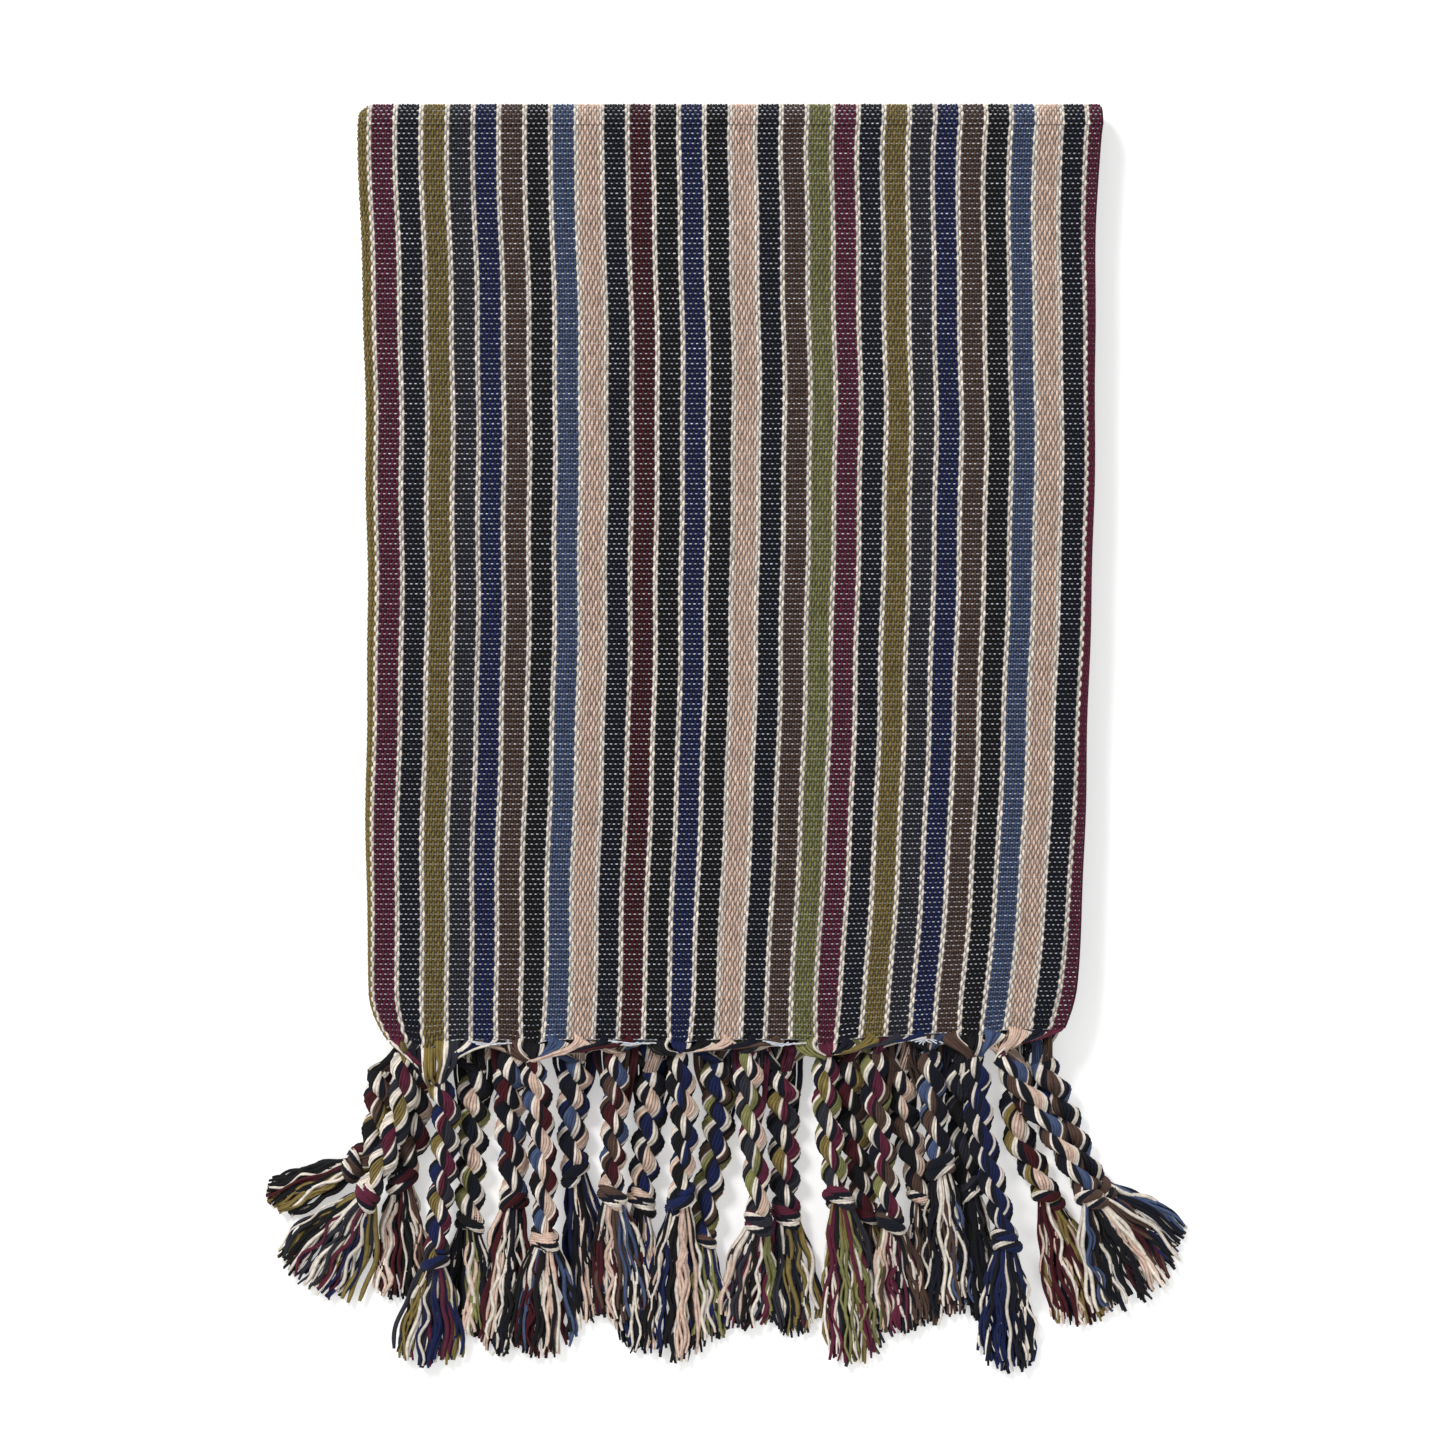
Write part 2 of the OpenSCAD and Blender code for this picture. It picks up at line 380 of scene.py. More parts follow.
# Cords on the top layer draw its edge down and in: place, depth, pull, and how far
# the pull and the drop reach to the left and to the right
GATHERS = [
    (-149.0, 5.0, 0.38, 60.0, 4.0, 14.0, 9.0),
    (-96.0, 3.0, 0.20, 12.0, 9.0, 8.0, 7.0),
    (-22.0, 2.0, 0.26, 12.0, 9.0, 8.0, 8.0),
    (53.0, 3.0, 0.26, 14.0, 12.0, 9.0, 9.0),
    (127.0, 2.5, 0.16, 12.0, 12.0, 10.0, 10.0),
    (156.0, 0.5, 0.26, 8.0, 40.0, 10.0, 20.0),
]
RIGHT_RISE = 5.5  # the edge ends higher at the right corner
RISE_FROM, RISE_L, RISE_DEPTH = 40.0, 120.0, 150.0  # where it starts to, and how deep into the cloth
DRAW = 24.0  # the pull starts this far from the last weft
EDGE_SHARE = 0.35  # how much of the pull a lower layer takes


def settle(x, y, share):
    """Draws the fringed edge of a layer in. The corners come in on every layer, the rest only by share."""
    s = np.clip((HEAD + DRAW - y) / DRAW, 0, 1.4) ** 2
    dx, dy = np.zeros_like(x), np.zeros_like(x)
    for g, (at, depth, pull, left, right, drop_left, drop_right) in enumerate(GATHERS):
        corner = g in (0, len(GATHERS) - 1)
        d = x - at
        reach = np.where(d < 0, left, right)
        drop = np.where(d < 0, drop_left, drop_right)
        dx -= d * pull * np.exp(-((d / reach) ** 2)) * s * (1.0 if corner else share)
        dy -= depth * np.exp(-((d / drop) ** 2)) * s * s * share
    inner = np.clip((HEAD + RISE_DEPTH - y) / RISE_DEPTH, 0, 1.1)
    slope = smooth((x - RISE_FROM) / RISE_L) * inner**2
    return x + dx, y + dy + RIGHT_RISE * slope


def cloth_x(u, y):
    """Where the stripes run: a little narrower towards the fringe, and never quite straight."""
    v = np.clip((AXIS_Y - y) / CLOTH_L, 0, 1)
    first = FIRST_W - CREAM_W / 2
    at_first = LEFT + 5.0 + 3.6 * smooth(v / 0.35) - 2.2 * smooth((v - 0.45) / 0.4)
    share = 1.012 * (1 - 0.018 * np.sqrt(v) - 0.03 * v**5)
    last = first + (STRIPES - 2) * PITCH
    curl = 0.48 + 0.56 * (2 * v - 0.9) ** 2  # how much of the last stripe lies flat
    tuck = 0.8 - 0.65 * v**2  # and of the first
    across = np.where(u > last, last + (u - last) * curl, u) - first
    across = np.where(across < 0, across * tuck, across)
    middle = np.sin(math.pi * np.clip(across / (last - first), 0, 1))
    bow = middle * (1.1 + 1.0 * np.exp(-(((v - 0.1) / 0.1) ** 2)))
    wander = 0.3 * np.sin(y / 31 + u / 97) + 0.25 * np.sin(y / 13 + u / 41 + 1.3)
    return at_first + across * share + bow + wander


def round_corner(u, y):
    """How far the corner at the round fold and the side fold sags."""
    return 3.2 * np.exp(-(np.clip((u - 2.5) / 4.0, 0, 9) ** 2)) * smooth((y - AXIS_Y + 8) / 14)


class Run:
    """A straight stretch or a turn of the cloth. Its spine runs between the two layers of a pair.

    flat is its first y, its way, the spine's height and the face's side. turn is its centre's y and z, the
    spine's radius, the way it bulges, the way it goes round, and whether the face is inside. share is
    how much of the cords' pull it takes.
    """

    def __init__(self, start, length, flat=None, turn=None, share=0.0):
        self.start, self.length, self.flat, self.turn, self.share = start, length, flat, turn, share

    def place(self, u, h, s):
        """Points of the cloth u across, h above the spine on the face side, and s along."""
        if self.flat:
            y0, way, z, nz = self.flat
            y = y0 + way * s + 0 * u
            bulge = 0.35 * np.sin(u / 37 + y / 71) + 0.2 * np.sin(u / 13 - y / 29)
            z = z + nz * h + bulge * np.clip((AXIS_Y - y) / 30, 0, 1)
            x, y = settle(cloth_x(u, y), y - round_corner(u, y), self.share)
            return np.stack([x, y, z + 0 * x], -1)
        y0, z0, r, way_y, way_z, inward = self.turn
        a = math.pi * (s / self.length - 0.5) * way_z
        r = r - h if inward else r + h
        y = y0 + way_y * r * np.cos(a)
        z = z0 + r * np.sin(a)
        x, y = settle(cloth_x(u, y), y - round_corner(u, y), self.share)
        return np.stack([x, y, z + 0 * x], -1)


def build_runs():
    """The whole length of the cloth, from one fringed end to the other, as it lies folded."""
    runs, at = {}, 0.0
    lower_l = AXIS_Y - TURN_Y
    outer, inner = AXIS_Z - LAYER, LAYER  # spine radii of the two turns at the round fold
    stretches = [
        ("top", CLOTH_L, dict(flat=(HEAD, 1, STACK - LAYER, 1), share=1.0)),
        ("round", math.pi * (outer + HALF), dict(turn=(AXIS_Y, AXIS_Z, outer, 1, -1, False))),
        ("floor", lower_l, dict(flat=(AXIS_Y, -1, LAYER, -1))),
        ("front", math.pi * (LAYER + HALF), dict(turn=(TURN_Y, 2 * LAYER, LAYER, -1, 1, False))),
        ("lower", lower_l, dict(flat=(TURN_Y, 1, 3 * LAYER, 1))),
        ("hinge", math.pi * (inner - HALF), dict(turn=(AXIS_Y, AXIS_Z, inner, 1, 1, True))),
        ("upper", CLOTH_L, dict(flat=(AXIS_Y, -1, 5 * LAYER, -1), share=EDGE_SHARE)),
    ]
    for name, length, kind in stretches:
        runs[name] = Run(at, length, **kind)
        at += length
    return runs


RUNS = build_runs()

# ---- Warp and weft -----------------------------------------------------------

ENDS = []  # place across, colour and stripe of every warp end of a face layer
for stripe in range(STRIPES):
    low, high = stripe_start(stripe), stripe_end(stripe)
    number = {0: 6, STRIPES - 1: 5}.get(stripe, 8)
    for j in range(number):
        ENDS.append((low + (j + 0.5) * (high - low) / number, face_colour(stripe), stripe))
    if stripe < STRIPES - 1:
        for j in (0.25, 0.75):
            ENDS.append((high + j * CREAM_W, "cream", stripe))

FOLD_U = 4.2  # where the side fold's centre lies
SWAY = 0.72  # how far an end goes up and down through the weft
HIGH = 0.62  # half the thickness of a warp end
WIDE = PITCH / 20  # half the width of a warp end
FLOATS = 997  # tones for the stretches of an end that lie on top
WEFT_WIDE, WEFT_HIGH = 0.38, 0.4  # half sizes of a pick
WEFT_INSET = 0.4  # a pick stays this far inside each stripe, and each quarter
BODY_HALF = 0.3  # half the thickness of the body under the yarns
BODY_SUNK = 0.5  # and how deep it lies below their centres
BODY_INSET = 0.6  # how far short of the right edge it stops
# painted shade: the body is darkened to half, for the shade in the gaps between the yarns
BODY_SHADE = 0.5


def warp(spool, run, chosen, s0, s1, per_pick=3, steps=3):
    """Warp ends on the face side of a run, from s0 to s1.

    chosen are (u, h, nu, nh, number, colour): the place, the normal, and a number that says which picks
    the end goes over. per_pick and steps are the stations a pick and the facets round an end.
    """
    step = PICK / per_pick
    marks = np.arange(math.ceil((run.start + s0) / step + 0.2), (run.start + s1) / step - 0.2)
    s = np.concatenate([[s0], marks * step - run.start, [s1]])[None, :]
    n = s.shape[1]
    u, h, nu, nh, number = (np.array([c[i] for c in chosen])[:, None] for i in range(5))
    phase = math.pi * ((run.start + s) / PICK + number)
    lift = np.cos(phase)
    sway = SWAY * (1 + 0.1 * rng.standard_normal((len(chosen), 1))) * lift
    swing = 0.1 * np.sin(phase * 0.5 + number)
    centre = run.place(u + swing + nu * sway, h + nh * sway, s)
    out = run.place(u + swing + nu * (sway + 0.5), h + nh * (sway + 0.5), s) - centre
    cream = np.array([c[5] == "cream" for c in chosen])[:, None]
    wide = WIDE * np.where(cream, 0.95 + 0.33 * lift, 0.84 + 0.3 * lift)
    wide = wide * (1 + 0.06 * rng.standard_normal((len(chosen), n)))
    floats = np.floor(phase / math.pi / 2 + 0.5).astype(int) % FLOATS
    mottle = rng.standard_normal((len(chosen), FLOATS)) * 0.07
    tone = 1 + np.take_along_axis(mottle, floats, 1) + 0.05 * rng.standard_normal((len(chosen), 1))
    pale = np.array([c[5] in ("cream", "tan") for c in chosen])[:, None]
    # painted shade: an end is darker where it dips under the weft, and less so on the pale ends
    raised = np.where(lift > 0, lift, 0.3 * lift)
    tone = tone * np.where(pale, 0.72 + 0.28 * (0.5 + 0.5 * lift), 0.62 + 0.38 * raised**2)
    angles = np.radians(np.linspace(-12, 192, steps + 1))
    colours = [c[5] for c in chosen]
    spool.lay(centre, unit(out), wide, HIGH, angles, False, colours, tone)


def weft(spool, run, per_stripe, s0=0.0, s1=None):
    """Weft picks, straight through the warp. They sink between the thicker ends of the pale stripes."""
    s1 = run.length if s1 is None else s1
    picks = np.arange(math.ceil((run.start + s0) / PICK), math.floor((run.start + s1) / PICK) + 1)
    s = (picks * PICK - run.start)[:, None]
    u, sunk = [], []
    for i in range(STRIPES):
        first = max(stripe_start(i), FOLD_U) + WEFT_INSET
        u += list(np.linspace(first, stripe_end(i) - WEFT_INSET, per_stripe))
        sunk += [face_colour(i) in ("olive", "moss", "tan")] * per_stripe
    u, sunk, n = np.array(u)[None, :], np.array(sunk), len(u)
    h = HALF - 0.06 - 0.1 * sunk + 0.04 * rng.standard_normal((len(picks), n))
    centre = run.place(u + 0 * s, h, s + 0 * u)
    out = run.place(u + 0 * s, h + 0.5, s + 0 * u) - centre
    # painted shade: the picks that sink are darkened; the rest of their tone differs at random
    tone = np.clip(0.75 + 0.32 * rng.standard_normal((len(picks), n)), 0.4, 1.5) * (1 - 0.4 * sunk)
    angles = np.radians([45, 135, 225, 315])
    spool.lay(centre, unit(out), WEFT_WIDE, WEFT_HIGH, angles, True, ["weft"] * len(picks), tone)


def face_ends(colour=None, low=-1e9, high=1e9):
    """The ends of one colour, or those between two places across, as warp takes them."""
    return [
        (u, HALF, 0.0, 1.0, k, c)
        for k, (u, c, _) in enumerate(ENDS)
        if (colour is None or c == colour) and low <= u < high and u > FOLD_U
    ]


def side_ends():
    """The ends of the first stripe that turn round the side fold."""
    ends = []
    for k, degrees in enumerate((100, 140, 180, 220)):
        a = math.radians(degrees)
        nu, nh = math.cos(a), math.sin(a)
        ends.append((FOLD_U + HALF * nu, HALF * nh, nu, nh, k, "olive"))
    return ends


def ground(spool, run, rows, seam=0.0):
    """The body of the cloth under its yarns, darkened to half as painted shade in the gaps: both layers of
    a pair, and the side fold that joins them.
    """
    cuts = [FOLD_W - BODY_INSET]
    colours = []
    for i in range(STRIPES - 1, -1, -1):
        cuts.append(max(stripe_start(i), FOLD_U))
        colours.append(i)
        if i > 0:
            cuts.append(stripe_end(i - 1))
            colours.append(None)
    face = [(u, HALF, 0.0, 1.0) for u in cuts]
    turn = np.radians((120, 150, 180, 210, 240))
    around = [(math.cos(a), math.sin(a)) for a in turn]
    side = [(FOLD_U + HALF * nu, HALF * nh, nu, nh) for nu, nh in around]
    back = [(u, -HALF, 0.0, -1.0) for u in reversed(cuts)]
    line = np.array(face + side + back)
    front_names = ["cream" if c is None else face_colour(c) for c in colours]
    back_names = ["cream" if c is None else back_colour(c) for c in reversed(colours)]
    names = front_names + ["olive"] * (len(side) + 1) + back_names
    s = np.linspace(seam, run.length - seam, rows)[:, None]
    skins = []
    for sign in (1, -1):
        u = line[:, 0] + sign * BODY_HALF * line[:, 2]
        h = line[:, 1] + (sign * BODY_HALF - BODY_SUNK) * line[:, 3]
        skins.append(run.place(u[None, :] + 0 * s, h[None, :] + 0 * s, s + 0 * u[None, :]))
    rings = np.concatenate([skins[0], skins[1][:, ::-1]], 1)
    ring_names = names + [names[-1]] + names[::-1] + [names[0]]
    # painted shade: the body's dark tone
    spool.close(rings, ring_names, BODY_SHADE)


# ---- Stage, camera and light --------------------------------------------------

FLOOR_HALF = 4.0  # places here are metres
LENS = 109.6
CAMERA_AT = (0.0, 0.00825, 2.22)  # it looks straight down


def make_stage():
    mesh = bpy.data.meshes.new("floor")
    corners = [(x * FLOOR_HALF, y * FLOOR_HALF, 0) for x, y in ((-1, -1), (1, -1), (1, 1), (-1, 1))]
    mesh.from_pydata(corners, [], [(0, 1, 2, 3)])
    floor = bpy.data.objects.new("floor", mesh)
    bpy.context.scene.collection.objects.link(floor)
    mat = bpy.data.materials.new("paper_floor")
    mat.use_nodes = True
    bsdf = mat.node_tree.nodes["Principled BSDF"]
    bsdf.inputs["Base Color"].default_value = (0.95, 0.95, 0.94, 1)
    bsdf.inputs["Roughness"].default_value = 1.0
    bsdf.inputs["Specular IOR Level"].default_value = 0.0
    bsdf.inputs["Emission Color"].default_value = (1, 1, 1, 1)
    bsdf.inputs["Emission Strength"].default_value = 0.4
    mesh.materials.append(mat)
    floor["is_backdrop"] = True


def make_camera():
    data = bpy.data.cameras.new("camera")
    data.lens = LENS
    data.clip_end = 20.0
    camera = bpy.data.objects.new("camera", data)
    camera.location = CAMERA_AT
    bpy.context.scene.collection.objects.link(camera)
    bpy.context.scene.camera = camera


def make_light():
    scene = bpy.context.scene
    world = bpy.data.worlds.new("soft_sky")
    world.use_nodes = True
    background = world.node_tree.nodes["Background"]
    background.inputs["Color"].default_value = (1, 1, 1, 1)
    background.inputs["Strength"].default_value = 0.5
    scene.world = world
    for name, place, size, power in (
        ("window", (-1.9, 2.5, 3.1), 1.0, 104.0),
        ("fill", (1.3, -0.6, 1.9), 1.4, 6.0),
    ):
        data = bpy.data.lights.new(name, "AREA")
        data.size = size
        data.energy = power
        lamp = bpy.data.objects.new(name, data)
        lamp.location = place
        lamp.rotation_mode = "QUATERNION"
        lamp.rotation_quaternion = (-Vector(place)).to_track_quat("-Z", "Y")
        scene.collection.objects.link(lamp)
    scene.view_settings.view_transform = "Standard"


# ---- Fringe ------------------------------------------------------------------

ROPE_PITCH = 30.0
PLY_R = 4.5  # radius of a ply
PLY_OUT = 3.2  # from the rope's centre to a ply's
PLY_CORE = 2.4  # a core fills the ply; its dark tone is painted shade between the yarns
CORE_SHADE = 0.4
PLY_YARNS = 16  # yarns that show on a ply
PLY_TURNS = -0.97  # turns of a ply about itself in a pitch
ROPE_STEP = 2.3  # between the stations of a rope
YARN_R = 0.76
BUNDLE = 10  # yarns of one stripe: eight of its colour and two of cream
CLUMP = 5  # yarns that move together

FIRST_X = -166.0
CORD_PITCH = 14.2
LEVEL_Z = (7.0, 18.2)  # height of the ropes that lie on the floor, and of those that lie on them
DROP_FROM = 6.0  # where a rope starts down, from the edge
DROP_L = 34.0  # and how far it takes

TOP_YARNS = 34  # a cord of the top layer takes at least this many
LOWER_YARNS = 40
# painted shadow: the yarns of the lower layers, under the top one, are darkened
LOWER_SHADOW = 0.6
LOWER_HALF = 17.0  # they come from this far each side of the cord
LOWER_LEFT, LOWER_RIGHT = -168, 172  # and from between these
STRAYS = 18
# painted shade: the stray yarns are darkened
STRAY_R, STRAY_SHADE = 0.95, 0.7
STRAY_HALF = 10.5
STRAYS_TO = 140.0  # cords further out have none
KNOT_YARNS = 12
KNOT_HALF = 4.6  # half the knot's length along the rope
KNOT_CORE = 1.9
HEART_L, HEART_R = 7.0, 4.2  # half length and radius of what the knot is tied round
TASSEL_YARNS = 68
TASSEL_UNDER = 20  # of them, the dark ones underneath
TASSEL_STATIONS = 19
TASSEL_NECK = 3.4  # half width just below the knot

# Each cord: level, a point on the way, the knot, the tassel's end; the cloth layer it comes
# from, the tassel's half width, and its colours
CORDS = [
    (0, (-173, -195), (-185, -214), (-229, -233), 4, 10, "black olive brown oxblood olive"),
    (1, (-161, -186), (-178, -228), (-211, -275), 2, 24, "olive cream charcoal plum royal"),
    (0, (-155, -200), (-161, -221), (-161, -283), 3, 14, "tan black brown oxblood tan"),
    (1, (-138, -190), (-144, -262), (-149, -316), 1, 16, "olive charcoal plum royal"),
    (0, (-126, -195), (-127, -243), (-128, -300), 4, 12, "navy moss black tan moss"),
    (0, (-107, -190), (-105, -232), (-114, -310), 2, 13, "tan navy oxblood steel"),
    (1, (-91, -195), (-89, -250), (-92, -311), 1, 16, "black oxblood tan steel"),
    (0, (-75, -190), (-74, -217), (-66, -293), 3, 12, "steel royal tan navy"),
    (1, (-54, -195), (-55, -228), (-50, -293), 2, 16, "tan oxblood brown steel black"),
    (0, (-36, -190), (-41, -233), (-42, -309), 4, 12, "black royal tan navy"),
    (1, (-19, -190), (-21, -230), (-25, -313), 1, 17, "black tan royal"),
    (0, (-2, -195), (-10, -250), (-6, -303), 3, 12, "royal moss brown"),
    (1, (14, -190), (18, -241), (10, -297), 2, 13, "plum moss charcoal tan"),
    (0, (31, -200), (32, -238), (37, -301), 4, 12, "navy charcoal plum olive"),
    (1, (53, -195), (58, -230), (67, -315), 1, 17, "charcoal moss plum olive"),
    (0, (66, -195), (72, -238), (76, -295), 3, 12, "brown black oxblood olive"),
    (1, (78, -190), (84, -242), (89, -300), 2, 14, "moss brown plum navy tan"),
    (0, (91, -190), (100, -230), (104, -296), 4, 12, "brown navy tan black"),
    (1, (106, -190), (109, -214), (116, -289), 2, 13, "navy brown steel"),
    (0, (121, -195), (124, -227), (131, -292), 3, 12, "navy black charcoal"),
    (1, (129, -195), (142, -252), (147, -318.5), 1, 15, "navy royal royal"),
    (0, (148, -195), (163, -230), (185, -295), 4, 16, "tan olive navy oxblood"),
    (1, (161, -190), (184, -230), (211, -284), 1, 24, "tan navy brown steel oxblood"),
    (0, (172, -190), (189, -226), (227, -262), 3, 16, "steel navy brown royal"),
]
PALE = ("cream", "tan", "steel", "moss")  # not among the yarns that lie underneath
TOP_CORDS = [k for k, c in enumerate(CORDS) if c[4] == 1]
OPEN_CORD = 3  # its middle stripe hangs straight and wide before it is twisted in
# Where the yarns of each cord of the top layer meet: across, and below the edge
APEX = [(-143, 22), (-96, 11), (-23, 7), (51, 9), (126, 9), (139, 9)]
START_X = {21: 151, 23: 160}  # the last lower ropes come in under the corner
START_BELOW = {2: 7, 3: 11, 4: 16}  # where a lower layer's ropes begin
TAKEN = (0, 6, 12, 18, 24, 27, 30)  # stripes of the top layer that each of its cords takes


def catmull(p, t):
    """Points at t on a smooth curve through the points p."""
    i = np.clip(np.floor(t).astype(int), 0, len(p) - 2)
    padded = np.vstack([2 * p[0] - p[1], p, 2 * p[-1] - p[-2]])
    a, b, c, d = padded[i], padded[i + 1], padded[i + 2], padded[i + 3]
    f = (t - i)[:, None]
    squared, cubed = 2 * a - 5 * b + 4 * c - d, 3 * b - a - 3 * c + d
    return 0.5 * (2 * b + (c - a) * f + squared * f**2 + cubed * f**3)


def route(k):
    """Centre line of cord k from the cloth to its knot, evenly spaced, and its length."""
    level, via, knot_at, tip, layer = CORDS[k][:5]
    if layer == 1:
        at, below = APEX[TOP_CORDS.index(k)]
        start = (at, HEAD - below)
        root_z = STACK - 5
    else:
        start_x = START_X.get(k, 0.85 * via[0] + 0.15 * (FIRST_X + k * CORD_PITCH))
        start = (start_x, HEAD - START_BELOW[layer])
        root_z = STACK - (layer - 0.5) * LAYER - 1
    plan = np.array([start, via, knot_at, tip], float)
    xy = catmull(plan, np.linspace(0, 2, 400))
    drop = smooth((HEAD - DROP_FROM - xy[:, 1]) / DROP_L)
    z = root_z + (LEVEL_Z[level] - root_z) * drop
    line = np.column_stack([xy, z])
    steps = np.linalg.norm(np.diff(line, axis=0), axis=1)
    reach = np.concatenate([[0], np.cumsum(steps)])
    even = np.linspace(0, reach[-1], int(reach[-1] / ROPE_STEP) + 2)
    return np.column_stack([np.interp(even, reach, line[:, j]) for j in range(3)]), reach[-1]


def top_edge(low, high):
    """Where the top layer's ends between two stripes leave the last weft, which way, and their colours."""
    run = RUNS["top"]
    rows = [(u, c) for u, c, stripe in ENDS if low <= stripe < high and u > FOLD_U]
    u = np.array([r[0] for r in rows])
    edge = run.place(u, HALF + 0 * u, 0.0 * u)
    inside = run.place(u, HALF + 0 * u, 3.0 + 0.0 * u)
    return edge, unit(edge - inside), [r[1] for r in rows]


def under_edge(k, number):
    """Where the ends of a lower layer leave the last weft for cord k, and which way."""
    via, layer = CORDS[k][1], CORDS[k][4]
    middle = APEX[TOP_CORDS.index(k)][0] if layer == 1 else via[0]
    x = np.linspace(max(middle - LOWER_HALF, LOWER_LEFT), min(middle + LOWER_HALF, LOWER_RIGHT), number)
    z = STACK - (max(layer, 2) - 0.5) * LAYER
    x, y = settle(x, HEAD + 1 + 0 * x, EDGE_SHARE)
    edge = np.column_stack([x, y, np.full(number, z)])
    return edge, np.tile([0.0, -1.0, 0.0], (number, 1))


def in_bands(palette, number, cream):
    """Yarn colours as they come from neighbouring stripes: eight of one colour, then its cream ends."""
    names = palette.split()
    band = 8
    colours = []
    while len(colours) < number:
        name = names[(len(colours) // (band + cream)) % len(names)]
        colours += [name] * band + ["cream"] * cream
    return colours[:number]


def ply_colours(palette, j):
    """The yarns round one ply: a broad band of one colour, its cream ends, and two narrower bands."""
    names = palette.split()
    main, second, third = (names[(j + step) % len(names)] for step in (0, 2, 1))
    return [main] * 4 + ["cream"] * 2 + ["navy"] * 2 + [second] * 4 + ["cream"] + [third] * 2 + ["black"]


def cord(k):
    """One cord of the fringe: its yarns leave the cloth, twist into two plies, knot and fan out."""
    tip, layer, palette = CORDS[k][3], CORDS[k][4], CORDS[k][6]
    local = np.random.default_rng(100 + k)
    line, length = route(k)
    along = unit(np.gradient(line, axis=0))
    side = unit(np.cross(along, UP))
    spool = Spool()
    starts = rope(spool, k, line, length, along, side, local)
    gathered(spool, k, line, side, starts, local)
    if layer > 1 and abs(line[0, 0]) < STRAYS_TO:
        strays(spool, line, side, palette, local)
    knot(spool, line[-1], along[-1], palette, local)
    tassel(spool, k, line[-1], tip, palette, local)
    spool.piece(f"fringe_cord_{k + 1:02d}", "cord_yarn", "upper_leaf", [f"cord_{k + 1}"])


def rope(spool, k, line, length, along, side, local):
    """The two twisted plies of cord k. Returns where their yarns start."""
    level, palette = CORDS[k][0], CORDS[k][6]
    top = np.cross(side, along)
    reach = np.linspace(0, length, len(line))
    turn = 2 * math.pi * reach / ROPE_PITCH * (1 + 0.07 * local.standard_normal()) + k * 1.9
    turn = turn + 0.35 * np.sin(reach / 17 + k)
    hold = smooth(reach / 10)[:, None]
    slim = (1.02 if level else 1.18) * (1 - 0.18 * (reach / length) ** 2)[:, None]
    paths, ups, colours = [], [], []
    for j in range(2):
        angle = turn + j * math.pi
        uneven = (1 + 0.08 * np.sin(reach / 9 + 2.2 * j + k))[:, None]
        facing = side * np.cos(angle)[:, None] + top * np.sin(angle)[:, None]
        centre = line + facing * (slim * (PLY_OUT - 1.4 + 1.4 * hold) * uneven)
        ply = ply_colours(palette, j)
        colours += ply
        shift = local.uniform(-0.5, 0.5)
        for i in range(PLY_YARNS):
            spin = 2 * math.pi * (PLY_TURNS * reach / ROPE_PITCH + (i - 2) / PLY_YARNS) + shift
            spin = spin + math.pi / 2
            r = (PLY_R - YARN_R) * (0.75 + 0.25 * hold) * slim * (1 + 0.04 * local.standard_normal())
            ripple = 0.14 * np.sin(reach / 2.9 + local.uniform(0, 6))[:, None]
            away = side * np.cos(spin)[:, None] + top * np.sin(spin)[:, None]
            paths.append(centre + away * (r + ripple))
            ups.append(away)
        # the ply's core, darkened as painted shade
        spool.yarns(centre[None], UP, PLY_CORE, [ply[0]], CORE_SHADE)
    paths = np.array(paths)
    paths[..., 2] = np.maximum(paths[..., 2], YARN_R)
    tone = 1 + 0.1 * local.standard_normal((len(paths), 1))
    radius = YARN_R * (1 + 0.1 * local.standard_normal((len(paths), 1))) * slim[:, 0]
    spool.yarns(paths, np.array(ups), radius, colours, tone)
    return paths[:, 0]


